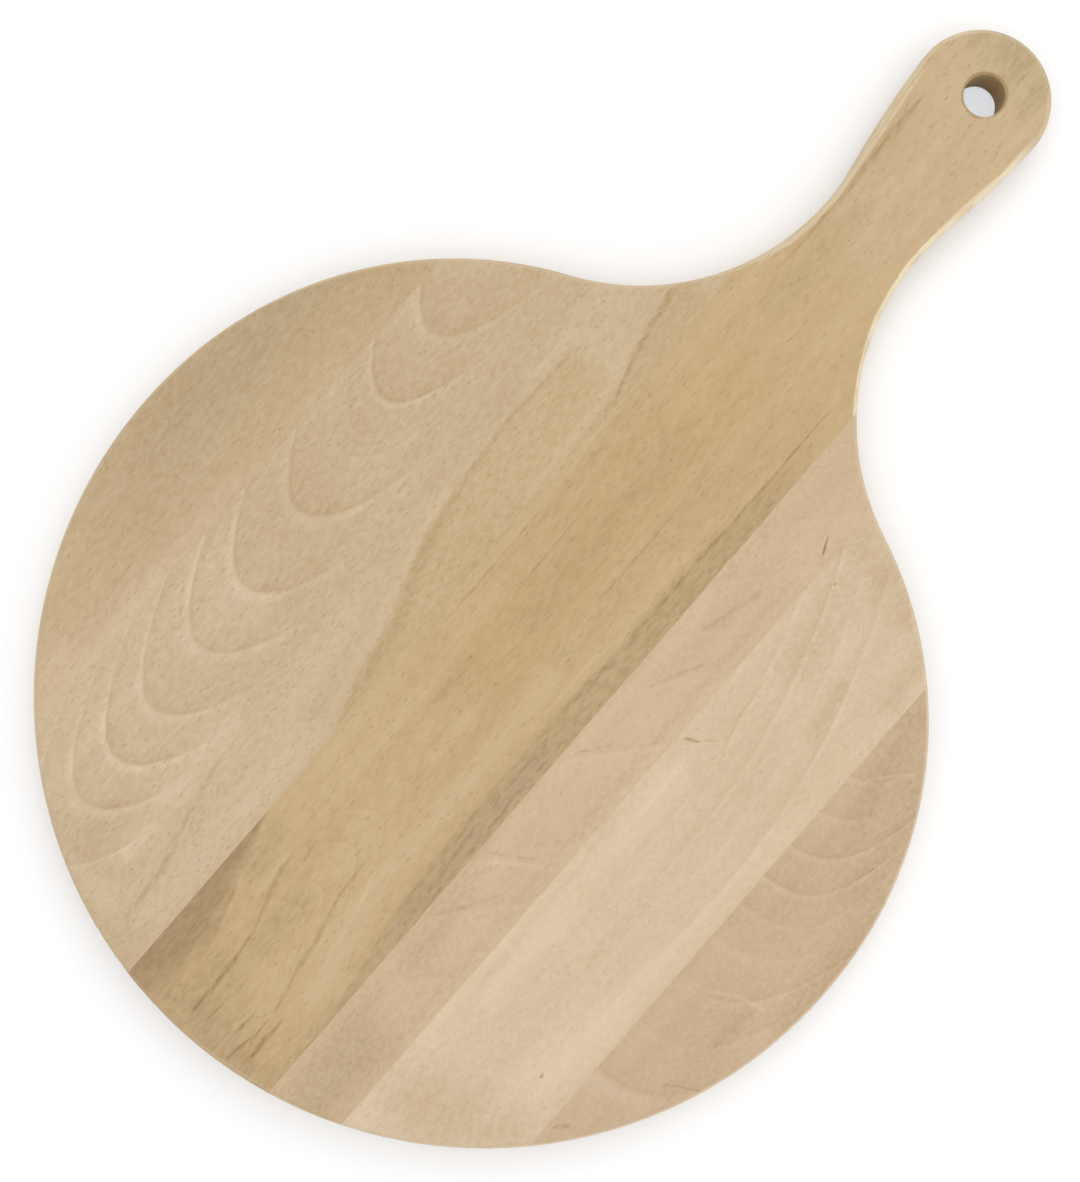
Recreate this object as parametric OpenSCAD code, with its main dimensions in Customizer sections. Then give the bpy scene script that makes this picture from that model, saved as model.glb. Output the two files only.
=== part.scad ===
// Round pizza serving board with a handle, edge glued from six hardwood staves.
// The origin is the blade's centre on the underside, +X runs along the handle and +Z is up.

/* [Blade] */
// Diameter of the round blade
blade_d = 300; // [260:5:340]
// Thickness of the whole board
thickness = 15; // [12:0.5:20]
// Radius of the rounding along every outside edge
arris_r = 2; // [1:0.25:4]

/* [Handle] */
// Width of the neck at its narrowest place
neck_w = 35.5; // [30:0.5:42]
// Radius of the hollow curve on each side of the neck
neck_r = 82.5; // [76:0.5:95]
// Distance from the blade's rim to the narrowest place of the neck, as a share of that radius
neck_gap_share = 0.63; // [0.56:0.01:0.68]
// Radius of the shoulder curve as a share of the blade's radius
shoulder_share = 0.9; // [0.7:0.02:0.94]
// Distance from the narrowest place of the neck to the tip
grip_l = 79.5; // [70:0.5:100]
// Radius of the slow curve along each side of the grip
grip_r = 400; // [200:10:800]
// Width of the rounded end of the handle
handle_end_d = 47.5; // [44:0.5:56]

/* [Hanging hole] */
// Diameter of the hole
hole_d = 14; // [8:0.5:22]
// Distance from the tip to the centre of the hole
hole_inset = 21.75; // [18:0.25:30]
// Width of the broken edge around both ends of the hole
hole_break = 0.8; // [0.4:0.1:1.5]

/* [Staves] */
// Distance from the handle's axis to the centre stave's left joint
centre_left = 29.9; // [26:0.1:36]
// Distance from the handle's axis to the centre stave's right joint
centre_right = 31.7; // [28:0.1:36]
// Width of the wide stave left of the centre
inner_left_w = 75.9; // [60:0.1:85]
// Width of the narrow stave right of the centre
inner_right_w = 25; // [16:0.1:30]
// Width of the stave right of the narrow one
outer_right_w = 51.8; // [40:0.1:58]
// Thickness of the cured glue in each joint
glue_t = 0.2; // [0.1:0.05:0.5]
// Angle between the joints and the handle's axis
skew = 1.15; // [0:0.05:1.5]

/* [Hidden] */
$fn = 240;

// Overrun of every cut
cut = 1;

// Steps in a millimetre that a place is rounded to
fineness = 1000;

// Places along each curve, as shares of its turn, where the plain middle has a corner
corner_shares = [0.1 : 0.2 : 0.9];

blade_r = blade_d / 2;
end_r = handle_end_d / 2;
shoulder_r = blade_r * shoulder_share;
inset_r = blade_r - shoulder_r;
neck_gap = neck_r * neck_gap_share;
board_l = 2 * blade_r + neck_gap + grip_l;

// Length that reaches across the whole board from the centre of any curve
reach = board_l + grip_r + neck_r;

// Width of the band that follows the outline
band_w = end_r / 2;

// Centres of the neck curve on the left and of the handle's rounded end, and the hole's place
neck_c = [blade_r + neck_gap, neck_w / 2 + neck_r];
end_c = [neck_c.x + grip_l - end_r, 0];
hole_x = neck_c.x + grip_l - hole_inset;

function along(a) = [cos(a), sin(a)];
function angle_of(v) = atan2(v.y, v.x);

// Angle between the sides a and d of a triangle whose third side is b
function corner(a, d, b) = acos((a * a + d * d - b * b) / (2 * a * d));

// The shoulder curve touches the blade from inside and the neck curve from outside, and the
// grip curve does the same with the handle's end: a triangle over three centres places each.
shoulder_c = inset_r * along(
    angle_of(neck_c) + corner(inset_r, norm(neck_c), shoulder_r + neck_r));
grip_c = end_c + (grip_r - end_r) * along(
    angle_of(neck_c - end_c) + corner(grip_r - end_r, norm(neck_c - end_c), grip_r + neck_r));

// The left half of the outline from the bottom of the blade to the tip of the handle: the
// centre and radius of each curve, with a radius below zero where it is hollow, and the
// directions square to the outline where it starts, where two curves meet and where it ends
centres = [[0, 0], shoulder_c, neck_c, grip_c, end_c];
radii = [blade_r, shoulder_r, -neck_r, grip_r, end_r];
turns = [
    180, angle_of(shoulder_c), angle_of(neck_c - shoulder_c),
    angle_of(neck_c - grip_c), angle_of(end_c - grip_c), 0
];

// Point of the curve with the given index, at an angle and a depth inside the board
function inside(index, a, depth) = centres[index] + (radii[index] - depth) * along(a);

// Joints from left to right, as distances from the handle's axis. The centre stave is never
// narrower than the handle, so that the handle is one piece of wood.
left_joint = max(centre_left, end_r + end_c.x * tan(skew) + glue_t);
right_joint = -max(centre_right, end_r + glue_t);
joints = [
    left_joint + inner_left_w,
    left_joint,
    right_joint,
    right_joint - inner_right_w,
    right_joint - inner_right_w - outer_right_w
];

// Moves to a point in two steps, a rounded one and the small rest, so that curves meet closely
module place(p) {
    rounded = [for (v = p) round(v * fineness) / fineness];
    translate(rounded) translate(p - rounded) children();
}

// A quarter of a disc, for the rounded edges
module quarter() {
    intersection() {
        circle(arris_r);
        square(arris_r);
    }
}

// Section of the band beside its edge at X = 0, with both corners rounded
module band_section() {
    translate([-band_w, 0]) square([band_w - arris_r, thickness]);
    translate([-arris_r, arris_r]) square([arris_r, thickness - 2 * arris_r]);
    translate([-arris_r, thickness - arris_r]) quarter();
    translate([-arris_r, arris_r]) mirror([0, 1]) quarter();
}

// Everything on one side of the line square to the outline where a curve starts: ahead of it,
// on the way to the tip, or behind it
module half_space(index, ahead) {
    centre = centres[min(index, len(centres) - 1)];
    place(centre) rotate([0, 0, turns[index]])
        translate([-reach, ahead ? -reach : 0, -cut])
            cube([2 * reach, reach, thickness + 2 * cut]);
}

// The band along one curve of the left half of the outline
module band(index) {
    radius = radii[index];
    intersection() {
        place(centres[index]) rotate_extrude()
            place([abs(radius), 0]) mirror([radius < 0 ? 1 : 0, 0]) band_section();
        half_space(index, true);
        half_space(index + 1, false);
    }
}

// The plain middle of the board, which laps over half of every band
module middle() {
    side = [
        for (i = [0 : len(radii) - 1])
            for (share = corner_shares)
                inside(i, turns[i] + share * (turns[i + 1] - turns[i]), band_w / 2)
    ];
    back = [for (i = [len(side) - 1 : -1 : 0]) [side[i].x, -side[i].y]];
    linear_extrude(thickness) polygon(concat(side, back));
}

module hanging_hole() {
    r = hole_d / 2;
    lip = r + hole_break + cut;
    translate([hole_x, 0, -cut]) cylinder(h = thickness + 2 * cut, r = r);
    translate([hole_x, 0, -cut]) cylinder(h = lip - r, r1 = lip, r2 = r);
    translate([hole_x, 0, thickness - hole_break]) cylinder(h = lip - r, r1 = r, r2 = lip);
}

// What its children share with the space between two lines that lean by the skew angle
module between(low, high) {
    for (i = [0 : $children - 1])
        intersection() {
            children(i);
            rotate([0, 0, -skew]) translate([-board_l, low, -cut])
                cube([2 * board_l, high - low, thickness + 2 * cut]);
        }
}

// The part of the board between two such lines
module strip(low, high) {
    difference() {
        union() {
            between(low, high) middle();
            for (i = [0 : len(radii) - 1])
                between(low, high) {
                    band(i);
                    mirror([0, 1, 0]) band(i);
                }
        }
        hanging_hole();
    }
}

// A stave between the joints before and after it; the outer staves run past the rim
module stave(index) {
    high = index == 0 ? blade_r + cut : joints[index - 1] - glue_t / 2;
    low = index == len(joints) ? -blade_r - cut : joints[index] + glue_t / 2;
    strip(low, high);
}

module glue_line(index) {
    color("#9c7f5c") strip(joints[index] - glue_t / 2, joints[index] + glue_t / 2);
}

module left_rim_stave() {
    color("#c8b491") stave(0);
}

module left_wide_stave() {
    color("#d2bc9a") stave(1);
}

module handle_stave() {
    color("#c6aa82") stave(2);
}

module narrow_stave() {
    color("#d0b49a") stave(3);
}

module right_pale_stave() {
    color("#dac5a4") stave(4);
}

module right_rim_stave() {
    color("#c4ae8d") stave(5);
}

left_rim_stave();
left_wide_stave();
handle_stave();
narrow_stave();
right_pale_stave();
right_rim_stave();
for (i = [0 : len(joints) - 1])
    glue_line(i);
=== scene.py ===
import math

import bpy
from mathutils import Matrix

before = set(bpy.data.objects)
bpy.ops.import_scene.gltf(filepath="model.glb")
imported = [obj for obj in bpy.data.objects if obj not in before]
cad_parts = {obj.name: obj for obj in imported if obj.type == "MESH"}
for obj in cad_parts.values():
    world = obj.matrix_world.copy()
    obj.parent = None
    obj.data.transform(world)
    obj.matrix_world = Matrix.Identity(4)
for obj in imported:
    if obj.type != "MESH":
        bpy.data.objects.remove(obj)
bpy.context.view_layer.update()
bpy.ops.object.select_all(action="DESELECT")
print("board loaded:", len(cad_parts), "pieces")

# Patterns are drawn in millimetres: "across" runs to the right of the handle, "along"
# runs from the middle of the blade to the handle's tip, and "up" from the underside.


def paint(red, green, blue):
    # screen colour from 0 to 255 as a shader colour
    parts = [part / 255 for part in (red, green, blue)]
    parts = [p / 12.92 if p < 0.04045 else ((p + 0.055) / 1.055) ** 2.4 for p in parts]
    return (*parts, 1)


class Amount:
    # a number in a node tree that can be used in plain sums

    def __init__(self, tree, socket):
        self.tree = tree
        self.socket = socket

    def calc(self, operation, *others, clamp=False):
        node = self.tree.nodes.new("ShaderNodeMath")
        node.operation = operation
        node.use_clamp = clamp
        for socket, value in zip(node.inputs, (self, *others)):
            put(self.tree, socket, value)
        return Amount(self.tree, node.outputs[0])

    def __add__(self, other):
        return self.calc("ADD", other)

    def __sub__(self, other):
        return self.calc("SUBTRACT", other)

    def __mul__(self, other):
        return self.calc("MULTIPLY", other)

    def __truediv__(self, other):
        return self.calc("DIVIDE", other)

    def clamped(self, low, high):
        return self.calc("MAXIMUM", low).calc("MINIMUM", high)

    def ease(self, low, high, first=0.0, last=1.0):
        # goes smoothly from first to last while this goes from low to high
        node = addNode(self.tree, "MapRange", {
            "Value": self, "From Min": low, "From Max": high,
            "To Min": first, "To Max": last}, interpolation_type="SMOOTHSTEP")
        return Amount(self.tree, node.outputs["Result"])


def put(tree, socket, value):
    if isinstance(value, Amount):
        value = value.socket
    if isinstance(value, bpy.types.NodeSocket):
        tree.links.new(value, socket)
    else:
        socket.default_value = value


def addNode(tree, kind, inputs=None, **settings):
    node = tree.nodes.new("ShaderNode" + kind)
    for name, value in settings.items():
        setattr(node, name, value)
    for name, value in (inputs or {}).items():
        put(tree, node.inputs[name], value)
    return node


def vectorMath(tree, operation, *values, output="Vector"):
    node = addNode(tree, "VectorMath", operation=operation)
    for socket, value in zip(node.inputs, values):
        put(tree, socket, value)
    return node.outputs[output]


def mixColour(tree, factor, first, second):
    node = addNode(tree, "Mix", data_type="RGBA")
    for index, value in ((0, factor), (6, first), (7, second)):
        put(tree, node.inputs[index], value)
    return node.outputs[2]


def stretched(tree, place, across, along, up):
    return vectorMath(tree, "MULTIPLY", place, (across, along, up))


def noise(tree, vector, detail, roughness=0.5, output="Fac"):
    node = addNode(tree, "TexNoise", {
        "Vector": vector, "Scale": 1.0, "Detail": detail, "Roughness": roughness})
    return node.outputs[output]


def startGroup(name, inputs, outputs):
    tree = bpy.data.node_groups.new(name, "ShaderNodeTree")
    for inOut, sockets in (("INPUT", inputs), ("OUTPUT", outputs)):
        for label, kind in sockets.items():
            tree.interface.new_socket(label, in_out=inOut, socket_type="NodeSocket" + kind)
    given = tree.nodes.new("NodeGroupInput").outputs
    result = tree.nodes.new("NodeGroupOutput").inputs
    return tree, given, result


def useGroup(tree, group, inputs):
    return addNode(tree, "Group", inputs, node_tree=group).outputs


# Board place: the place in millimetres, plain and with the slow wander that wood has
boardPlace = {
    "millimetres": 1000,
    "wanderScale": (0.022, 0.006, 0.022),
    "wander": 1.4,
    "jitterScale": (0.45, 0.09, 0.45),
    "jitter": 0.9,
    "detail": 2,
}


def makeBoardPlace():
    look = boardPlace
    tree, given, result = startGroup(
        "board place", {"Object": "Vector"}, {"Place": "Vector", "Wavy": "Vector"})
    turned = addNode(tree, "Mapping", {
        "Vector": given["Object"], "Rotation": (0, 0, math.radians(90)),
        "Scale": (look["millimetres"],) * 3})
    place = turned.outputs["Vector"]
    wavy = place
    for scale, size in (("wanderScale", "wander"), ("jitterScale", "jitter")):
        shift = noise(
            tree, stretched(tree, place, *look[scale]), look["detail"], output="Color")
        shift = vectorMath(tree, "SUBTRACT", shift, (0.5, 0.5, 0.5))
        wavy = vectorMath(tree, "ADD", wavy, vectorMath(
            tree, "MULTIPLY", shift, (look[size], look[size], 0)))
    put(tree, result["Place"], place)
    put(tree, result["Wavy"], wavy)
    return tree


# Beech grain: short fibres, bands, cloudy patches and dark pores, each stave with its own
beechGrain = {
    "fibre": (0.8, 0.3, 0.8),
    "bands": (0.16, 0.008, 0.16),
    "clouds": (0.04, 0.02, 0.04),
    "fibreDetail": (3, 0.6),
    "bandsDetail": (4, 0.55),
    "cloudsDetail": (3, 0.5),
    "poreLean": 3,
    "pores": (1.25, 0.3, 1.25),
    "poreSize": (0.1, 0.36),
    "poreShare": (0.35, 1.0),
}


def makeBeechGrain():
    look = beechGrain
    tree, given, result = startGroup(
        "beech grain", {"Place": "Vector", "Seed": "Vector", "Shortness": "Float"},
        {"Fibre": "Float", "Bands": "Float", "Clouds": "Float", "Pores": "Float"})
    place = vectorMath(tree, "ADD", given["Place"], given["Seed"])
    short = addNode(tree, "CombineXYZ", {"X": 1, "Y": given["Shortness"], "Z": 1})
    close = vectorMath(tree, "MULTIPLY", place, short.outputs["Vector"])
    for label, start in (("fibre", close), ("bands", place), ("clouds", place)):
        pattern = stretched(tree, start, *look[label])
        put(tree, result[label.title()], noise(tree, pattern, *look[label + "Detail"]))
    leaning = addNode(tree, "Mapping", {
        "Vector": close, "Rotation": (0, 0, math.radians(look["poreLean"]))}).outputs[0]
    cells = addNode(tree, "TexVoronoi", {
        "Vector": stretched(tree, leaning, *look["pores"]), "Scale": 1.0, "Randomness": 1.0})
    near = Amount(tree, cells.outputs["Distance"]).ease(*look["poreSize"], 1.0, 0.0)
    chance = addNode(tree, "SeparateColor", {"Color": cells.outputs["Color"]})
    share = Amount(tree, chance.outputs["Red"]).ease(*look["poreShare"])
    put(tree, result["Pores"], near * share)
    return tree


# Stroke: a soft streak along a straight line, tapering from one width to another
def makeStroke():
    tree, given, result = startGroup(
        "stroke", {"Place": "Vector", "From": "Vector", "To": "Vector",
                   "First Width": "Float", "Last Width": "Float", "Softness": "Float"},
        {"Mask": "Float"})
    flat = vectorMath(tree, "MULTIPLY", given["Place"], (1, 1, 0))
    run = vectorMath(tree, "SUBTRACT", given["To"], given["From"])
    offset = vectorMath(tree, "SUBTRACT", flat, given["From"])
    reached = Amount(tree, vectorMath(tree, "DOT_PRODUCT", offset, run, output="Value"))
    whole = Amount(tree, vectorMath(tree, "DOT_PRODUCT", run, run, output="Value"))
    share = reached.calc("DIVIDE", whole, clamp=True)
    nearest = addNode(tree, "VectorMath", {0: run}, operation="SCALE")
    put(tree, nearest.inputs["Scale"], share)
    gap = vectorMath(tree, "SUBTRACT", offset, nearest.outputs["Vector"])
    distance = Amount(tree, vectorMath(tree, "LENGTH", gap, output="Value"))
    first = Amount(tree, given["First Width"])
    width = first + (Amount(tree, given["Last Width"]) - first) * share
    firm = width * (Amount(tree, given["Softness"]) * -1 + 1)
    put(tree, result["Mask"], distance.ease(firm, width, 1.0, 0.0))
    return tree


# Streak: follows a bent middle line and a changing width along the grain
def makeStreak():
    tree, given, result = startGroup(
        "streak", {"Place": "Vector", "Middle": "Float", "Width": "Float",
                   "Softness": "Float", "Start": "Float", "End": "Float", "Fade": "Float"},
        {"Mask": "Float"})
    place = addNode(tree, "SeparateXYZ", {"Vector": given["Place"]}).outputs
    along = Amount(tree, place["Y"])
    width, fade = (Amount(tree, given[label]) for label in ("Width", "Fade"))
    distance = (Amount(tree, place["X"]) - given["Middle"]).calc("ABSOLUTE")
    firm = width * (Amount(tree, given["Softness"]) * -1 + 1)
    mask = distance.ease(firm, width, 1.0, 0.0)
    mask = mask * (along - given["Start"]).ease(fade * -1, fade)
    mask = mask * (along - given["End"]).ease(fade * -1, fade, 1.0, 0.0)
    put(tree, result["Mask"], mask)
    return tree


# Growth line: a pale line with a dark one just past it that fades towards the next
growthLine = {
    "pale": (0.74, 0.96),
    "paleEnd": (0.965, 1.0),
    "dark": (0.0, 0.03),
    "darkEnd": (0.03, 0.55),
    "darkEdge": (0.03, 0.13),
    "slowShare": 0.5,
}


def makeGrowthLine():
    look = growthLine
    tree, given, result = startGroup(
        "growth line", {"Count": "Float"}, {"Pale": "Float", "Dark": "Float"})
    part = Amount(tree, given["Count"]).calc("FRACT")
    pale = part.ease(*look["pale"]) * part.ease(*look["paleEnd"], 1.0, 0.0)
    slow = part.ease(*look["darkEnd"], 1.0, 0.0)
    crisp = part.ease(*look["darkEdge"], 1.0, 0.0)
    put(tree, result["Pale"], pale)
    share = look["slowShare"]
    both = slow * share + crisp * (1 - share)
    put(tree, result["Dark"], both * part.ease(*look["dark"]))
    return tree


# Rim wear and highlight: the paler rounded edge, partly wear and partly painted highlight where
# the edge catches the light, fainter round the handle's tip, and the darker ends of the grain
rimWearAndHighlight = {
    "edgeStart": 0.2,
    "wallTilt": (0.02, 0.25),
    "wallAmount": 0.35,
    "endTilt": (0.35, 0.9),
    "patchScale": (0.12, 0.12, 0.3),
    "patchDetail": 3,
    "patch": (0.3, 0.6, 0.6, 1.0),
    "sides": (-12, 12),
    "handle": (115, 150),
    "tip": (247, 260),
    "tipSide": (-18, -8),
    "tipLoss": 0.75,
    "endAmount": 0.45,
}


def makeRimWearAndHighlight():
    look = rimWearAndHighlight
    tree, given, result = startGroup(
        "rim wear and highlight", {"Place": "Vector", "Tilt": "Float"}, {"Edge": "Float", "End": "Float"})
    normal = addNode(tree, "NewGeometry").outputs["Normal"]
    parts = addNode(tree, "SeparateXYZ", {"Vector": normal}).outputs
    rise = Amount(tree, parts["Z"]).calc("ABSOLUTE")
    spread = stretched(tree, given["Place"], *look["patchScale"])
    patches = Amount(tree, noise(tree, spread, look["patchDetail"]))
    tilt = Amount(tree, given["Tilt"])
    edge = (rise * -1 + 1).ease(tilt * look["edgeStart"], tilt)
    edge = edge * rise.ease(*look["wallTilt"], look["wallAmount"], 1.0)
    put(tree, result["Edge"], edge * patches.ease(*look["patch"]))
    put(tree, result["End"], Amount(tree, parts["X"]).calc("ABSOLUTE").ease(*look["endTilt"]))
    return tree


groups = {
    "place": makeBoardPlace(),
    "grain": makeBeechGrain(),
    "stroke": makeStroke(),
    "streak": makeStreak(),
    "line": makeGrowthLine(),
    "rim": makeRimWearAndHighlight(),
}
print("shared patterns built:", len(groups))


def curve(tree, value, points):
    # straight steps through (value, result) points
    lowX, highX = points[0][0], points[-1][0]
    results = [point[1] for point in points]
    low, high = min(results), max(results)
    if low == high:
        return low
    share = (value - lowX).calc("DIVIDE", highX - lowX, clamp=True)
    node = addNode(tree, "FloatCurve", {"Value": share})
    steps = node.mapping.curves[0].points
    while len(steps) < len(points):
        steps.new(0.5, 0.5)
    for step, (x, y) in zip(steps, points):
        step.location = ((x - lowX) / (highX - lowX), (y - low) / (high - low))
        step.handle_type = "VECTOR"
    node.mapping.update()
    return Amount(tree, node.outputs[0]) * (high - low) + low


markDefaults = {"softness": 0.9, "ragged": 0.4, "fade": 2}


def lineMask(tree, place, along, points, mark):
    # two (across, along, width) points make a stroke, and more make a bent streak
    points = sorted(points, key=lambda point: point[1])
    softness = mark.get("softness", markDefaults["softness"])
    if len(points) == 2:
        (x0, y0, width0), (x1, y1, width1) = points
        mask = useGroup(tree, groups["stroke"], {
            "Place": place, "From": (x0, y0, 0), "To": (x1, y1, 0), "First Width": width0,
            "Last Width": width1, "Softness": softness})["Mask"]
    else:
        middle = curve(tree, along, [(y, x) for x, y, _ in points])
        width = curve(tree, along, [(y, size) for _, y, size in points])
        widest = max(size for _, _, size in points)
        fade = mark.get("fade", max(widest, markDefaults["fade"]))
        mask = useGroup(tree, groups["streak"], {
            "Place": place, "Middle": middle, "Width": width, "Softness": softness,
            "Start": points[0][1], "End": points[-1][1], "Fade": fade})["Mask"]
    return Amount(tree, mask)


# Wood surface: how far red, green and blue go up and down with the grain, how ragged the
# marks are, and the relief and shine of the sanded face
woodSurface = {
    "contrast": (0.5, 0.64, 0.9),
    "raggedFibre": (0.35, 0.62),
    "lineClouds": (0.36, 0.6, 0.6, 1.2),
    "fibreRelief": 0.03,
    "poreRelief": 0.1,
    "bumpDistance": 0.001,
    "bumpStrength": 0.6,
    "roughness": 0.58,
    "fibreRoughness": 0.25,
    "poreRoughness": 0.15,
    "edgeRoughness": -0.06,
    "ior": 1.4,
    "specular": 0.35,
}


def beechMaterial(name, look, rings=None):
    face = woodSurface
    material = bpy.data.materials.new(name)
    material.use_nodes = True
    tree = material.node_tree
    tree.nodes.clear()
    here = addNode(tree, "TexCoord").outputs["Object"]
    places = useGroup(tree, groups["place"], {"Object": here})
    grain = useGroup(tree, groups["grain"], {
        "Place": places["Wavy"], "Seed": look["seed"], "Shortness": look["shortness"]})
    fibre, bands, clouds, pores = (
        Amount(tree, grain[label]) for label in ("Fibre", "Bands", "Clouds", "Pores"))
    wavy = addNode(tree, "SeparateXYZ", {"Vector": places["Wavy"]}).outputs
    across, along = Amount(tree, wavy["X"]), Amount(tree, wavy["Y"])

    colour = paint(*look["colour"])
    for mark in look["marks"]:
        mask = None
        for points in mark["lines"]:
            line = lineMask(tree, places["Wavy"], along, points, mark)
            mask = mask.calc("MAXIMUM", line) if mask else line
        ragged = mark.get("ragged", markDefaults["ragged"])
        mask = mask * mark["amount"]
        mask = mask * fibre.ease(*face["raggedFibre"], 1 + ragged, 1 - ragged)
        colour = mixColour(tree, mask.clamped(0, 1), colour, paint(*mark["colour"]))

    tone = ((fibre - 0.5) * look["fibre"] + (bands - 0.5) * look["bands"]
            + (clouds - 0.5) * look["clouds"])
    relief = fibre * face["fibreRelief"] - pores * face["poreRelief"]
    if rings:
        where, fade = rings(across, along)
        where = where + (fibre - 0.5) * look["raggedLine"]
        spots = look["rings"]
        count = curve(tree, where, [(spot, index) for index, (spot, _) in enumerate(spots)])
        strength = curve(tree, where, spots) * fade * clouds.ease(*face["lineClouds"])
        lines = useGroup(tree, groups["line"], {"Count": count})
        pale = Amount(tree, lines["Pale"]) * strength
        dark = Amount(tree, lines["Dark"]) * strength * fade
        tone = tone + pale * look["paleLine"] - dark * look["darkLine"]
        relief = relief + (pale - dark) * look["lineRelief"]
    tint = vectorMath(tree, "MULTIPLY_ADD", tone, face["contrast"], (1, 1, 1))
    colour = vectorMath(tree, "MULTIPLY", colour, tint)

    colour = mixColour(tree, pores * look["poreAmount"], colour, paint(*look["poreColour"]))
    rim = useGroup(tree, groups["rim"], {"Place": places["Place"], "Tilt": look["edgeTilt"]})
    end = Amount(tree, rim["End"])
    colour = mixColour(
        tree, end * rimWearAndHighlight["endAmount"], colour, paint(*look["endColour"]))
    # the paler rounded edge is partly wear and partly painted highlight, paler on the side each
    # stave gives it
    edge = Amount(tree, rim["Edge"])
    leftEdge, rightEdge = (paint(*shade) for shade in look["edgeColours"])
    edgeColour = mixColour(tree, across.ease(*rimWearAndHighlight["sides"]), leftEdge, rightEdge)
    amount = edge * along.ease(*rimWearAndHighlight["handle"], *look["edgeAmount"])
    tip = along.ease(*rimWearAndHighlight["tip"]) * across.ease(*rimWearAndHighlight["tipSide"])
    amount = amount * (tip * -rimWearAndHighlight["tipLoss"] + 1)
    colour = mixColour(tree, amount, colour, edgeColour)

    bump = addNode(tree, "Bump", {
        "Height": relief, "Distance": face["bumpDistance"], "Strength": face["bumpStrength"]})
    roughness = ((fibre - 0.5) * face["fibreRoughness"] + pores * face["poreRoughness"]
                 + edge * face["edgeRoughness"] + face["roughness"])
    surface = addNode(tree, "BsdfPrincipled", {
        "Base Color": colour, "Roughness": roughness, "Normal": bump.outputs["Normal"],
        "IOR": face["ior"], "Specular IOR Level": face["specular"]})
    output = addNode(tree, "OutputMaterial")
    tree.links.new(surface.outputs[0], output.inputs["Surface"])
    return material


def dress(node, material):
    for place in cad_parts[node].material_slots:
        place.material = material
    print("finished:", node)


# The plain stave at the left rim has straight soft streaks, and painted shade makes it darker
# towards the rim
leftRimStave = {
    "seed": (311, 40, 7), "shortness": 1, "fibre": 0.6, "bands": 0.25, "clouds": 0.25,
    "colour": (200, 175, 139),
    "poreAmount": 0.5, "poreColour": (158, 130, 94),
    "endColour": (170, 138, 98),
    "edgeTilt": 0.2, "edgeAmount": (0.25, 0.25),
    "edgeColours": ((228, 212, 184), (228, 212, 184)),
    "marks": (
        # painted shade: the two darker streaks towards the rim stand in for light falling off
        # there
        {"lines": (((-136, 170, 40), (-136, 60, 40), (-136, -25, 34)),),
         "softness": 1, "fade": 45, "colour": (184, 160, 124), "amount": 0.85, "ragged": 0.1},
        {"lines": (((-116, 120, 11), (-116, 55, 11), (-114, 10, 10)),),
         "softness": 1, "fade": 25, "colour": (193, 166, 123), "amount": 0.5, "ragged": 0.1},
        {"lines": (((-104.5, -15, 15), (-104.5, -60, 15), (-104.5, -160, 17)),),
         "softness": 1, "fade": 50, "colour": (211, 187, 156), "amount": 0.8, "ragged": 0.1},
        {"lines": (((-117, -76, 8), (-113, -112, 12)),),
         "softness": 1, "colour": (211, 187, 155), "amount": 0.6, "ragged": 0.1},
        {"lines": (((-119, 75, 2), (-118, 0, 3), (-118, -75, 2)),
                   ((-126, 60, 2), (-125, 0, 3), (-127, -60, 2))),
         "softness": 1, "colour": (190, 165, 128), "amount": 0.3},
    ),
}
dress("left_rim_stave", beechMaterial("beech left rim", leftRimStave))


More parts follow.
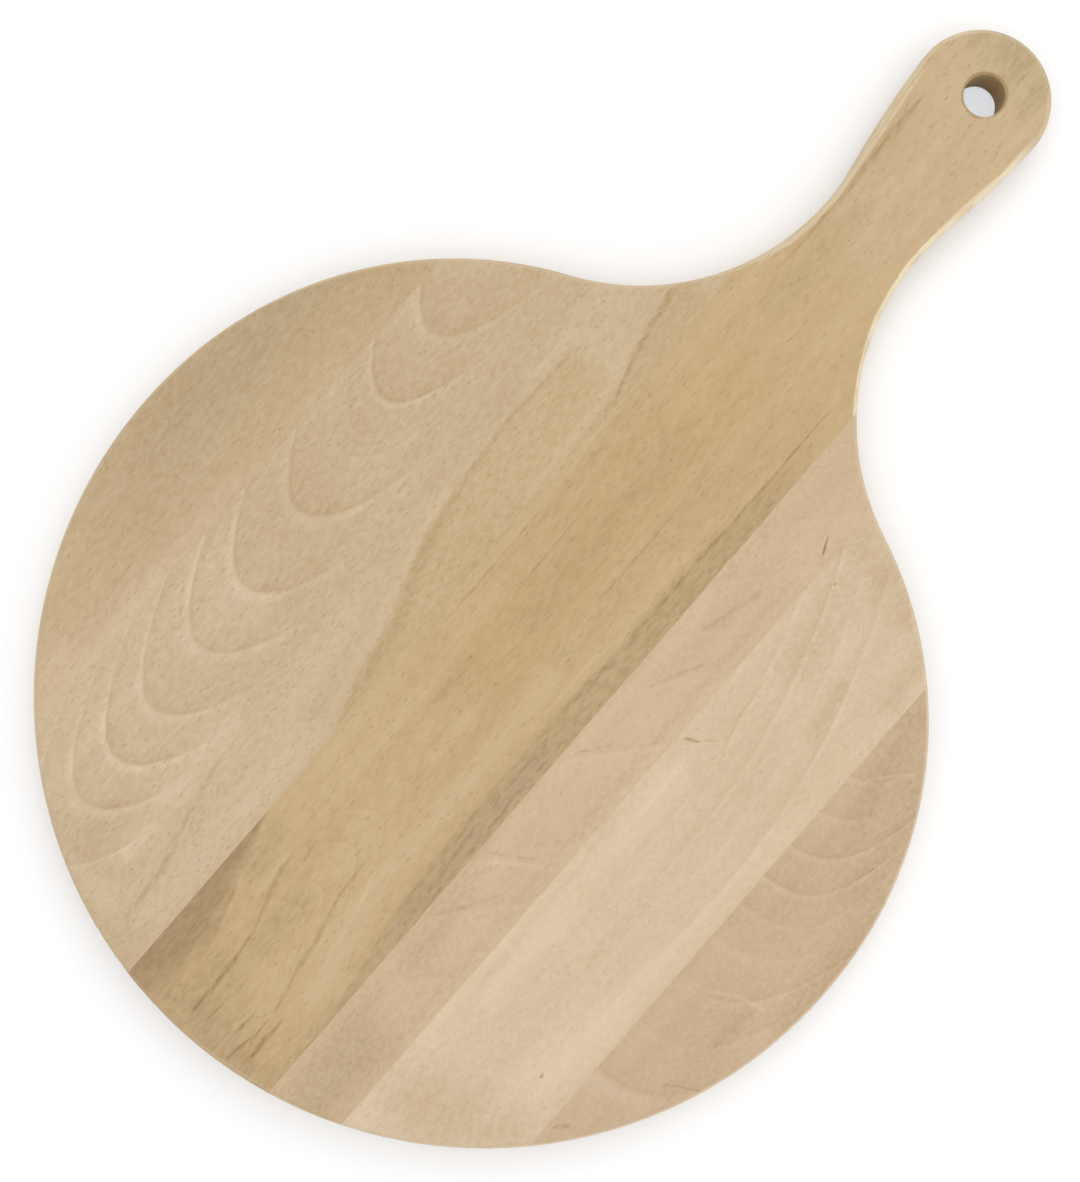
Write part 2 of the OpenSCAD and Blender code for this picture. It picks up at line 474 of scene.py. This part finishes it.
# The wide stave has nested U-shaped growth lines, open towards the handle, and turns golden
# towards its right joint
leftWideStave = {
    "seed": (24, 500, 19), "shortness": 1, "fibre": 0.66, "bands": 0.32, "clouds": 0.3,
    "colour": (202, 178, 143),
    "rings": (
        (-170, 0.2), (-152, 0.4), (-135, 0.8), (-111.5, 0.8), (-93.5, 1), (-73, 0.9),
        (-47.5, 1), (-23, 1), (8, 1), (33, 0.4), (36.5, 0.4), (40, 0.4), (54.5, 1),
        (81.5, 0.9), (112, 0.2), (160, 0.1)),
    "paleLine": 0.2, "darkLine": 0.2, "raggedLine": 3, "lineRelief": 0.015,
    "apex": (-86.5, -0.056), "leftFlat": 13.5, "rightFlat": 17, "flatter": 0.08,
    "flatterRange": (-60, 20), "fade": (8, 32), "leftFade": (-22, -6, 0.72, 1),
    "poreAmount": 0.5, "poreColour": (158, 130, 94),
    "endColour": (172, 141, 103),
    "edgeTilt": 0.2, "edgeAmount": (0.25, 0.25),
    "edgeColours": ((228, 210, 182), (228, 210, 182)),
    "marks": (
        {"lines": (((-86, -30, 26), (-86, -112, 19)), ((-60, -60, 9), (-60, -92, 9)),
                   ((-38, -46, 8), (-40, -125, 11)), ((-106, -50, 9), (-105, -120, 12)),
                   ((-74, -128, 7), (-56, -132, 8)), ((-58, -104, 5), (-58, -116, 5))),
         "softness": 1, "colour": (209, 187, 156), "amount": 0.8, "ragged": 0.1},
        {"lines": (((-53, -8, 10), (-50, -40, 9)),),
         "softness": 1, "colour": (209, 187, 156), "amount": 0.3, "ragged": 0.1},
        {"lines": (((-90, 100, 17), (-88, 10, 17)), ((-57, 84, 6), (-58, 44, 7)),
                   ((-46, 74, 6), (-44, 26, 6)), ((-73, -100, 6), (-71, -124, 8))),
         "softness": 1, "colour": (195, 170, 135), "amount": 0.5, "ragged": 0.1},
        {"lines": (((-56, 113, 2.4), (-55.5, 92, 1.5)),
                   ((-54, 46, 1.5), (-52, 32, 3), (-48, 18, 3.5), (-44, 2, 3.5),
                    (-41, -15, 3.5), (-37, -32, 3.5), (-34.5, -48, 3), (-34, -70, 2.5)),
                   ((-62, 105, 0.5), (-63, 90, 0.8), (-64, 74, 0.4)),
                   ((-72, 102, 0.5), (-73, 88, 0.9), (-74.5, 76, 0.5))),
         "softness": 1, "colour": (211, 187, 152), "amount": 0.5},
        {"lines": (((-30, 108, 21.5), (-30, 75, 24.6), (-30, 50, 23.5), (-30, 30, 20.8),
                    (-30, 15, 17), (-30, 0, 11.4), (-30, -20, 8), (-30, -33, 4),
                    (-30, -40, 1.5)),),
         "softness": 0.12, "fade": 4, "colour": (198, 173, 132), "amount": 0.9, "ragged": 0.1},
        {"lines": (((-51.2, 105, 1.2), (-52.8, 75, 1.5), (-51, 50, 2.2), (-48, 30, 3.4),
                    (-43, 14, 3.9), (-38, 0, 3.9), (-35, -20, 3.4), (-32, -36, 1.6)),),
         "softness": 1, "fade": 5, "colour": (186, 159, 118), "amount": 0.66, "ragged": 0.2},
        {"lines": (((-28, 150, 13), (-28, 138, 11), (-28, 130, 9.5), (-28, 121, 7.5),
                    (-28, 112, 5), (-28, 103, 2.5), (-28, 97, 0.8)),),
         "softness": 0.15, "fade": 3, "colour": (196, 171, 131), "amount": 0.9, "ragged": 0.1},
        {"lines": (((-38.5, 145, 1.8), (-36.5, 130, 1.8), (-34.5, 121, 1.5), (-32, 112, 1.3),
                    (-29.5, 103, 0.9)),),
         "fade": 4, "colour": (182, 154, 112), "amount": 0.8},
        {"lines": (((-38, 122, 1.6), (-35, 109, 2.6), (-33, 98, 3.2), (-32, 80, 3.4),
                    (-31.5, 58, 2)),),
         "softness": 1, "colour": (210, 185, 148), "amount": 0.75, "ragged": 0.2},
        {"lines": (((-55, -62, 0.8), (-54, -78, 1.6), (-51, -92, 1.9), (-48, -105, 2.2),
                    (-46, -115, 2.2), (-45, -132, 1.8)),
                   ((-60, 124, 1.2), (-62, 118, 1), (-59, 111, 0.5)),
                   ((-53, 121, 0.5), (-52.5, 118, 1), (-52.5, 115, 0.5))),
         "softness": 1, "colour": (186, 162, 127), "amount": 0.55},
    ),
}


def wideStaveRings(across, along):
    look = leftWideStave
    side = across - look["apex"][0] - along * look["apex"][1]
    left, right = side.calc("MINIMUM", 0), side.calc("MAXIMUM", 0)
    flatness = (along * -1).clamped(*look["flatterRange"]) * look["flatter"] + look["rightFlat"]
    where = along - left * left / look["leftFlat"] - right * right / flatness
    return where, side.ease(*look["fade"], 1.0, 0.0) * side.ease(*look["leftFade"])


dress("left_wide_stave", beechMaterial("beech left wide", leftWideStave, wideStaveRings))


# The centre stave is golden, with a dark streak at its right and a swirl near the far rim
handleStave = {
    "seed": (87, 210, 3), "shortness": 0.8, "fibre": 0.5, "bands": 0.4, "clouds": 0.3,
    "colour": (200, 172, 130),
    "rings": (
        (-150, 0.2), (-128, 0.2), (-112, 0.3), (-103, 0.4), (-93, 0.9), (-83, 0.6),
        (-74, 0.4), (-66.5, 0.9), (-52, 0.6), (-38, 0.3), (-25, 0.3), (-10, 0)),
    "paleLine": 0.06, "darkLine": 0.12, "raggedLine": 3, "lineRelief": 0,
    "middle": -2, "leftFlat": 14, "rightFlat": 6, "widening": (75, 105, 0, 16),
    "fade": (8, 15), "leftFade": (-24, -9),
    "poreAmount": 0.45, "poreColour": (150, 118, 78),
    "endColour": (165, 132, 90),
    "edgeTilt": 0.045, "edgeAmount": (0.2, 0.9),
    # painted highlight: the right edge colour is paler, as the rounded edge on that side faces
    # the light
    "edgeColours": ((215, 197, 166), (240, 224, 193)),
    "marks": (
        {"lines": (((-5, 130, 36), (-5, 15, 34)),), "softness": 1,
         "colour": (196, 167, 121), "amount": 0.6, "ragged": 0.1},
        {"lines": (((0, 290, 44), (0, 205, 28)),), "softness": 1,
         "colour": (205, 181, 146), "amount": 0.85, "ragged": 0.1},
        # painted shade: the darker tip of the handle and its sides stand in for light falling
        # off there
        {"lines": (((0, 294, 30), (0, 277, 25)), ((-14, 270, 4), (-13, 276, 5)),
                   ((14, 262, 4), (13, 275, 8))), "softness": 1,
         "colour": (184, 161, 123), "amount": 0.75, "ragged": 0.2},
        {"lines": (((-7, 204, 7), (-9, 165, 10)),),
         "softness": 1, "colour": (191, 164, 122), "amount": 0.6, "ragged": 0.2},
        {"lines": (((12, 196, 6), (12, 164, 8)), ((-27, -4, 5), (-27, -52, 5)),
                   ((-14, 56, 4), (-14, 44, 4))),
         "softness": 1, "colour": (208, 181, 140), "amount": 0.5, "ragged": 0.2},
        {"lines": (((0, 238, 6), (1, 224, 6)), ((10, 222, 4), (10, 208, 4))),
         "softness": 1, "colour": (211, 187, 152), "amount": 0.6, "ragged": 0.2},
        {"lines": (((-5, 105, 15), (-5, 30, 15)), ((-23.5, 115, 4.5), (-22.5, 30, 4.5)),
                   ((-11.5, 8, 2.5), (-11.5, -12, 2.5)), ((10, 105, 5), (11, 25, 6)),
                   ((24.5, 90, 3), (23.5, 5, 3.5))),
         "softness": 1, "colour": (190, 162, 119), "amount": 0.6, "ragged": 0.3},
        {"lines": (((-10, -126, 16), (2, -142, 22)), ((-4, -90, 7), (-5, -112, 8)),
                   ((-25, -78, 7), (-23, -92, 8)), ((28, -110, 5), (29, -140, 7))),
         "softness": 1, "colour": (184, 157, 117), "amount": 0.6, "ragged": 0.3},
        {"lines": (((14, 20, 5), (14, -60, 5)), ((12, -62, 5), (20, -112, 8)),
                   ((0, -8, 4), (0, -26, 4)), ((0, -60, 4), (0, -76, 4)),
                   ((-17, -84, 2.5), (-17, -98, 3)),
                   ((-29, 130, 2), (-28.5, 85, 2)), ((19.4, 35, 1.2), (18.6, 2, 1.2))),
         "softness": 1, "colour": (208, 181, 143), "amount": 0.7, "ragged": 0.2},
        {"lines": (((32, 122, 4.6), (32, 100, 6.4), (32, 75, 8), (32, 45, 9), (32, 30, 9.8),
                    (32, 20, 10.8), (32, 8, 11.4), (32, -40, 11.5), (32, -60, 11),
                    (32, -75, 9.7), (32, -90, 7.7), (32, -105, 5.5), (32, -125, 3.5)),),
         "softness": 0.14, "fade": 20, "colour": (183, 156, 117), "amount": 0.74, "ragged": 0.3},
        {"lines": (((27, 0, 5), (27, -78, 5)),),
         "softness": 1, "colour": (176, 158, 132), "amount": 0.35, "ragged": 0.2},
        {"lines": (((27.5, 145, 0.6), (27, 120, 0.8), (26.4, 100, 0.9), (25.4, 75, 1),
                    (25.2, 60, 1.2), (24.6, 40, 1.6), (23.6, 26, 1.6), (23, 12, 0.8)),
                   ((29.6, 8, 0.6), (28.6, -20, 1.1), (29.2, -40, 1), (29.2, -62, 0.6)),
                   ((26, 5, 0.8), (24.5, -20, 1.2), (25.5, -45, 0.9), (27.5, -70, 0.8))),
         "colour": (170, 142, 103), "amount": 0.55, "ragged": 0.7},
        {"lines": (((-15.6, 247, 0.8), (-15.4, 232, 2.2), (-15.2, 218, 2.3), (-14.9, 205, 1.4),
                    (-15, 190, 1), (-15.5, 174, 0.6)),
                   ((-25.5, 58, 0.4), (-26, 30, 0.9), (-26.5, 10, 0.5)),
                   ((9.5, 88, 0.4), (9.3, 70, 0.8), (8.5, 50, 0.5)),
                   ((-14.8, 74, 0.4), (-14.6, 50, 0.7), (-14.5, 34, 0.4))),
         "colour": (180, 151, 108), "amount": 0.7},
        {"lines": (((-34, -74, 3), (-34, -86, 7), (-34, -98, 11), (-34, -108, 15),
                    (-34, -118, 18.5), (-34, -130, 17.5), (-34, -152, 16)),),
         "softness": 0.5, "fade": 5, "colour": (168, 139, 104), "amount": 0.95, "ragged": 0.12},
        {"lines": (((-18, -142, 13), (22, -146, 11)),), "softness": 1,
         "colour": (184, 157, 119), "amount": 0.6},
        {"lines": (((-15.8, -80, 0.8), (-14.9, -90, 1.9), (-12.8, -97, 1.7), (-11, -103, 1.2),
                    (-9.5, -109, 0.7)),
                   ((-12.8, -72, 0.7), (-12.2, -76, 1.1), (-11.3, -80, 0.7)),
                   ((4.5, -68, 0.8), (5, -80, 1.1), (7, -90, 1.4), (9, -99, 1.6),
                    (10, -108, 1.6), (12, -118, 1.3), (13, -124, 0.8)),
                   ((-25, -98, 0.8), (-21.2, -109, 1.8), (-19, -118, 1)),
                   ((-30, -120, 0.6), (-27.5, -128, 1.1), (-24.5, -138, 0.6))),
         "softness": 1, "colour": (174, 146, 108), "amount": 0.62, "ragged": 0.25},
        {"lines": (((8, -67, 0.7), (11.5, -76, 1.4), (13.6, -87, 1.7), (15, -97, 1.6),
                    (17, -107, 0.8)),),
         "softness": 1, "colour": (214, 188, 152), "amount": 0.5},
        {"lines": (((-9.3, -108, 0.6), (-8.6, -118, 1.2), (-8, -128, 1.4), (-8.2, -142, 0.9)),
                   ((17, -126, 0.8), (16.5, -134, 1.7), (17, -144, 1.3)),
                   ((8.2, -130, 0.6), (7.8, -134, 1.1), (7.4, -138, 0.6)),
                   ((-2, -134, 0.6), (-2.4, -138, 0.9), (-2.6, -141, 0.6)),
                   ((13.5, -129, 0.6), (13.2, -134, 0.9), (13.4, -138, 0.6)),
                   ((12.5, -136, 0.6), (11.3, -143, 1.3), (11, -148, 1.3))),
         "softness": 1, "colour": (154, 124, 85), "amount": 0.65, "ragged": 0.3},
        # painted shade: the hole's wall and its narrow rim are darker, as the shade inside the
        # hole
        {"lines": (((0, 259.725, 8.1), (0, 259.75, 8.1)),), "softness": 0.06,
         "colour": (168, 136, 68), "amount": 0.9, "ragged": 0.1},
        # partly wear, partly painted highlight: pale lines just inside the handle's sides, paler
        # on the right side, which faces the light
        {"lines": (((21.8, 256, 0.8), (21.5, 245, 0.8), (19.1, 230, 0.9),
                    (17.3, 215, 0.9), (16.5, 201, 0.9), (17.4, 190, 0.9), (19.5, 180, 0.8),
                    (22.8, 170, 0.8)),),
         "softness": 0.8, "fade": 6, "colour": (231, 214, 179), "amount": 0.75, "ragged": 0.2},
        {"lines": (((-20.8, 252, 0.8), (-20.3, 245, 0.8), (-18.6, 230, 1), (-17, 215, 1),
                    (-15.9, 201, 0.9), (-16.6, 190, 0.9), (-18.6, 180, 0.9), (-22, 170, 0.8)),),
         "softness": 0.8, "fade": 6, "colour": (222, 201, 168), "amount": 0.75, "ragged": 0.2},
    ),
}


def handleStaveRings(across, along):
    look = handleStave
    side = across - look["middle"]
    left, right = side.calc("MINIMUM", 0), side.calc("MAXIMUM", 0)
    leftFlat = (along * -1).ease(*look["widening"]) + look["leftFlat"]
    where = along + left * left / leftFlat + right * right / look["rightFlat"]
    return where, side.ease(*look["fade"], 1.0, 0.0) * side.ease(*look["leftFade"])


dress("handle_stave", beechMaterial("beech handle", handleStave, handleStaveRings))


# The narrow stave is pinkish, with faint growth lines that rise to the right
narrowStave = {
    "seed": (640, 77, 31), "shortness": 1.4, "fibre": 0.42, "bands": 0.28, "clouds": 0.3,
    "colour": (208, 182, 148),
    "rings": (
        (-160, 0.3), (-135, 0.4), (-118, 0.3), (-98, 0.3), (-67, 0.4), (-42, 0.4),
        (-18, 0.3), (0, 0.5), (32, 0.3), (53, 0.4), (76, 0.4), (100, 0.3), (140, 0.2)),
    "paleLine": 0.08, "darkLine": 0.12, "raggedLine": 4, "lineRelief": 0.003,
    "slope": 1.15, "start": 33,
    "poreAmount": 0.3, "poreColour": (172, 142, 108),
    "endColour": (176, 144, 108),
    "edgeTilt": 0.2, "edgeAmount": (0.3, 0.3),
    "edgeColours": ((232, 214, 184), (232, 214, 184)),
    "marks": (
        {"lines": (((37, 70, 4), (36, -40, 4)), ((42, 30, 12), (42, -15, 14)),
                   ((50, 78, 5), (50, 62, 5))),
         "softness": 1, "colour": (213, 187, 154), "amount": 0.45, "ragged": 0.2},
        {"lines": (((54, 95, 3), (53, 20, 3), (52, -60, 3.5), (50, -125, 4)),),
         "softness": 1, "colour": (199, 174, 139), "amount": 0.6},
        {"lines": (((32, -40, 7), (38, -80, 12)), ((36, 104, 5), (36, 78, 4)),
                   ((34, -96, 4), (34, -138, 6))), "softness": 1,
         "colour": (199, 174, 139), "amount": 0.7},
        {"lines": (((42, -116, 20), (42, -145, 20)),), "softness": 1,
         "colour": (191, 167, 131), "amount": 0.85, "ragged": 0.2},
        {"lines": (((41.5, 64, 1.5), (48.5, 86, 1.6)), ((34, -66, 1.1), (46, -47, 1.2)),
                   ((40, 38, 0.9), (49.5, 56, 1.1)), ((35, -38.3, 0.8), (47, -30.8, 0.8)),
                   ((35, 5, 0.8), (42, 14, 1))),
         "softness": 1, "colour": (188, 161, 125), "amount": 0.38},
        {"lines": (((36, -41, 1.3), (50, -31.5, 1.3)),), "softness": 1,
         "colour": (220, 198, 168), "amount": 0.42},
        {"lines": (((53.4, 114, 0.35), (55, 110.6, 0.8), (56.2, 108, 0.4)),), "fade": 1,
         "colour": (140, 110, 76), "amount": 0.75, "ragged": 0.1},
    ),
}


def narrowStaveRings(across, along):
    look = narrowStave
    return along - (across - look["start"]) * look["slope"], 1.0


dress("narrow_stave", beechMaterial("beech narrow", narrowStave, narrowStaveRings))


# The pale stave has long shallow growth lines, bowed to the right, and a small knot
rightPaleStave = {
    "seed": (905, 333, 12), "shortness": 1.4, "fibre": 0.46, "bands": 0.3, "clouds": 0.3,
    "colour": (215, 192, 161),
    "rings": (
        (-130, 0.1), (-112, 0.1), (-101.3, 1), (-92, 0.3), (-83, 0.9), (-73.5, 0.5),
        (-64, 0.4), (-50, 0.2), (-20, 0.1)),
    "paleLine": 0.13, "darkLine": 0.12, "raggedLine": 2, "lineRelief": 0.002,
    "middle": 8, "bow": 490, "fade": (-30, 45, 0.35, 1),
    "poreAmount": 0.3, "poreColour": (174, 146, 114),
    "endColour": (184, 154, 118),
    "edgeTilt": 0.2, "edgeAmount": (0.3, 0.3),
    "edgeColours": ((236, 220, 190), (236, 220, 190)),
    "marks": (
        {"lines": (((102, 72, 4), (104, 55, 5.5), (105.5, 15, 5), (104, -20, 6),
                    (101, -55, 9), (98, -80, 11), (96, -95, 10)),
                   ((66, 20, 8), (66, -75, 8)), ((58, -20, 4), (56, -100, 4))),
         "softness": 0.8, "fade": 14, "colour": (222, 201, 170), "amount": 0.65, "ragged": 0.2},
        {"lines": (((64, 118, 16), (92, 112, 14)), ((66, -117, 19), (96, -107, 18)),
                   ((68, 104, 13), (72, 76, 13)), ((104, 104, 7), (105, 84, 6)),
                   ((89, 78, 5), (92, 60, 5))),
         "softness": 1, "colour": (205, 180, 148), "amount": 0.78, "ragged": 0.2},
        {"lines": (((60.5, 32.5, 1.3), (63.5, 34.6, 1.5), (70, 39, 0.8)),
                   ((68, 66, 0.5), (69, 48, 0.8), (74, 32, 0.5)),
                   ((83, -42, 0.8), (83.3, -47, 1))),
         "colour": (203, 176, 138), "amount": 0.55, "ragged": 0.2},
        {"lines": (((60.3, 32.3, 0.9), (64, 34, 0.6)),),
         "colour": (172, 138, 92), "amount": 0.7, "ragged": 0.1},
        {"lines": (((65.2, 103.6, 0.8), (65.3, 102.9, 0.8)),
                   ((94.5, -84, 0.9), (94.6, -84.8, 0.9))),
         "softness": 0.9, "colour": (160, 130, 96), "amount": 0.6},
    ),
}


def paleStaveRings(across, along):
    look = rightPaleStave
    off = along - look["middle"]
    return (across + off * off / look["bow"]) * -1, along.ease(*look["fade"])


dress("right_pale_stave", beechMaterial("beech right pale", rightPaleStave, paleStaveRings))


# The stave at the right rim is darker, with growth lines that curve up towards the rim
rightRimStave = {
    "seed": (52, 720, 44), "shortness": 1.5, "fibre": 0.48, "bands": 0.28, "clouds": 0.3,
    "colour": (202, 176, 144),
    "rings": (
        (-140, 0.3), (-110, 0.4), (-71, 0.7), (-50, 0.3), (-30.5, 0.7), (-12, 0.3),
        (2, 0.4), (13.8, 1), (27, 1), (42, 0.4), (57, 0.8), (78, 0.3), (110, 0.3)),
    "paleLine": 0.15, "darkLine": 0.14, "raggedLine": 2, "lineRelief": 0.003,
    "start": 106, "bend": 0.0005, "bendRange": (0.006, 0.04), "tip": 0.00001,
    "poreAmount": 0.3, "poreColour": (166, 134, 100),
    "endColour": (170, 138, 102),
    "edgeTilt": 0.2, "edgeAmount": (0.6, 0.6),
    "edgeColours": ((232, 212, 184), (232, 212, 184)),
    "marks": (
        {"lines": (((112, 95, 8), (117, 65, 10), (126, 38, 8)),
                   ((134, -26, 6), (133, -40, 4)), ((131, 68, 13), (138, 30, 13)),
                   ((146, 32, 10), (146, -18, 10))),
         "softness": 1, "colour": (193, 167, 132), "amount": 0.8, "ragged": 0.3},
        {"lines": (((112, -10, 6), (112, -60, 6)), ((114, -74, 2.5), (120, -73, 2.5))),
         "softness": 1, "colour": (208, 182, 151), "amount": 0.6},
        {"lines": (((115, 60, 1), (125, 71, 1.3)), ((110, -29.5, 1), (119, -28, 1.4)),
                   ((119, -28, 1.4), (128, -22.5, 1.4)), ((128, -22.5, 1.4), (138, -20.5, 1))),
         "softness": 1, "colour": (216, 191, 158), "amount": 0.55, "ragged": 0.2},
        {"lines": (((109, -95, 1), (112, -91.5, 1.4)), ((128, -60.5, 0.7), (138, -55, 0.9))),
         "softness": 1, "colour": (176, 146, 108), "amount": 0.5},
    ),
}


def rightRimRings(across, along):
    look = rightRimStave
    out = (across - look["start"]).calc("MAXIMUM", 0)
    square = out * out
    bend = (along * look["bend"]).clamped(*look["bendRange"])
    return along - square * bend - square * square * look["tip"], 1.0


dress("right_rim_stave", beechMaterial("beech right rim", rightRimStave, rightRimRings))


# Cured glue in the joints: thin and close to the wood's own colour
gluedJoint = {
    "leftColours": ((194, 169, 132), (208, 184, 149)),
    "rightColours": ((197, 172, 137), (215, 192, 160)),
    "sides": (0, 30),
    "scale": (0.3, 0.05, 0.3),
    "detail": (4, 0.6),
    "spread": (0.35, 0.65),
    "bumpDistance": 0.0002,
    "bumpStrength": 0.5,
    "roughness": (0.3, 0.35),
}


def glueMaterial():
    look = gluedJoint
    material = bpy.data.materials.new("cured glue")
    material.use_nodes = True
    tree = material.node_tree
    tree.nodes.clear()
    here = addNode(tree, "TexCoord").outputs["Object"]
    place = useGroup(tree, groups["place"], {"Object": here})["Place"]
    clouds = Amount(tree, noise(tree, stretched(tree, place, *look["scale"]), *look["detail"]))
    across = Amount(tree, addNode(tree, "SeparateXYZ", {"Vector": place}).outputs["X"])
    left, right = (
        mixColour(tree, clouds.ease(*look["spread"]), *(paint(*shade) for shade in look[side]))
        for side in ("leftColours", "rightColours"))
    colour = mixColour(tree, across.ease(*look["sides"]), left, right)
    bump = addNode(tree, "Bump", {
        "Height": clouds, "Distance": look["bumpDistance"], "Strength": look["bumpStrength"]})
    spread, start = look["roughness"]
    surface = addNode(tree, "BsdfPrincipled", {
        "Base Color": colour, "Roughness": clouds * spread + start,
        "Normal": bump.outputs["Normal"]})
    output = addNode(tree, "OutputMaterial")
    tree.links.new(surface.outputs[0], output.inputs["Surface"])
    return material


glue = glueMaterial()
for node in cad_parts:
    if node.startswith("glue_line"):
        dress(node, glue)


# Pale floor that shows white to the camera and keeps the board's soft shadow, with a painted
# contact shadow close to the board and painted light on the floor seen through the hole
floorLook = {
    "size": 8,
    "drop": 0.0002,
    "colour": (0.85, 0.85, 0.855, 1),
    "glow": 0.22,
    "paintedShadowColour": (0.61, 0.61, 0.61, 1),
    "paintedShadowReach": 0.01,
    "paintedShadowSamples": 8,
    "hole": (0.259725, 0, 0),
    "holeEdge": (0.007, 0.009),
    "holePaintedLight": 0.33,
    "holePaintedLightColour": (0.93, 1, 1.07, 1),
}


def addFloor():
    look = floorLook
    bpy.ops.mesh.primitive_plane_add(size=look["size"], location=(0, 0, -look["drop"]))
    floor = bpy.context.object
    floor.name = "studio_floor"
    bpy.ops.object.transform_apply(location=True, rotation=True, scale=True)
    material = bpy.data.materials.new("studio floor")
    material.use_nodes = True
    tree = material.node_tree
    tree.nodes.clear()
    ray = addNode(tree, "LightPath").outputs
    seen = Amount(tree, ray["Is Camera Ray"]).calc("MAXIMUM", ray["Is Glossy Ray"])
    seen = seen.calc("MAXIMUM", ray["Is Transmission Ray"])
    # painted contact shadow: ambient occlusion darkens the floor's colour close to the board
    close = addNode(
        tree, "AmbientOcclusion", {"Distance": look["paintedShadowReach"]},
        samples=look["paintedShadowSamples"]).outputs["AO"]
    colour = mixColour(tree, close, look["paintedShadowColour"], look["colour"])
    plain = addNode(tree, "BsdfDiffuse", {"Color": colour})
    here = addNode(tree, "TexCoord").outputs["Object"]
    # painted light: the floor seen through the hole glows brighter and cooler to the camera
    distance = Amount(tree, vectorMath(tree, "DISTANCE", here, look["hole"], output="Value"))
    paintedHoleLight = distance.ease(*look["holeEdge"], 1.0, 0.0)
    white = addNode(tree, "Emission", {
        "Color": mixColour(tree, paintedHoleLight, (1, 1, 1, 1), look["holePaintedLightColour"]),
        "Strength": seen * (paintedHoleLight * look["holePaintedLight"] + look["glow"])})
    both = addNode(tree, "AddShader", {0: plain.outputs[0], 1: white.outputs[0]})
    output = addNode(tree, "OutputMaterial")
    tree.links.new(both.outputs[0], output.inputs["Surface"])
    floor.data.materials.append(material)


addFloor()
print("floor laid")


# Even white surroundings, a large soft lamp and a small one
studioLight = {
    "surroundings": 0.887,
    "lamps": (
        {"name": "large softbox", "place": (3.1, 1.1, 2.75), "size": 2.5, "power": 28.0},
        {"name": "small softbox", "place": (0.25, -1.5, 0.5), "size": 0.8, "power": 1.6},
    ),
}


def addLight():
    look = studioLight
    world = bpy.data.worlds.new("studio")
    bpy.context.scene.world = world
    world.use_nodes = True
    tree = world.node_tree
    tree.nodes.clear()
    ray = addNode(tree, "LightPath").outputs
    seen = Amount(tree, ray["Is Camera Ray"]).calc("MAXIMUM", ray["Is Transmission Ray"])
    strength = seen * (1 - look["surroundings"]) + look["surroundings"]
    white = addNode(tree, "Background", {"Color": (1, 1, 1, 1), "Strength": strength})
    output = addNode(tree, "OutputWorld")
    tree.links.new(white.outputs[0], output.inputs["Surface"])
    for lamp in look["lamps"]:
        bpy.ops.object.light_add(type="AREA", location=lamp["place"])
        light = bpy.context.object
        light.name = lamp["name"]
        light.data.size = lamp["size"]
        light.data.energy = lamp["power"]
        aim = light.location.copy()
        light.rotation_euler = aim.to_track_quat("Z", "Y").to_euler()


addLight()
print("lamps set")


# The camera looks straight down, with the handle turned to the upper right
photoCamera = {
    "over": (0.03893, 0.00849, 0.577),
    "turn": -50.29,
    "lens": 51.63,
    "sensor": 36,
    "clipStart": 0.01,
}


def addCamera():
    look = photoCamera
    bpy.ops.object.camera_add(
        location=look["over"], rotation=(0, 0, math.radians(look["turn"])))
    camera = bpy.context.object
    camera.data.lens = look["lens"]
    camera.data.sensor_width = look["sensor"]
    camera.data.clip_start = look["clipStart"]
    bpy.context.scene.camera = camera


addCamera()
bpy.context.scene.view_settings.view_transform = "Standard"
print("camera set")
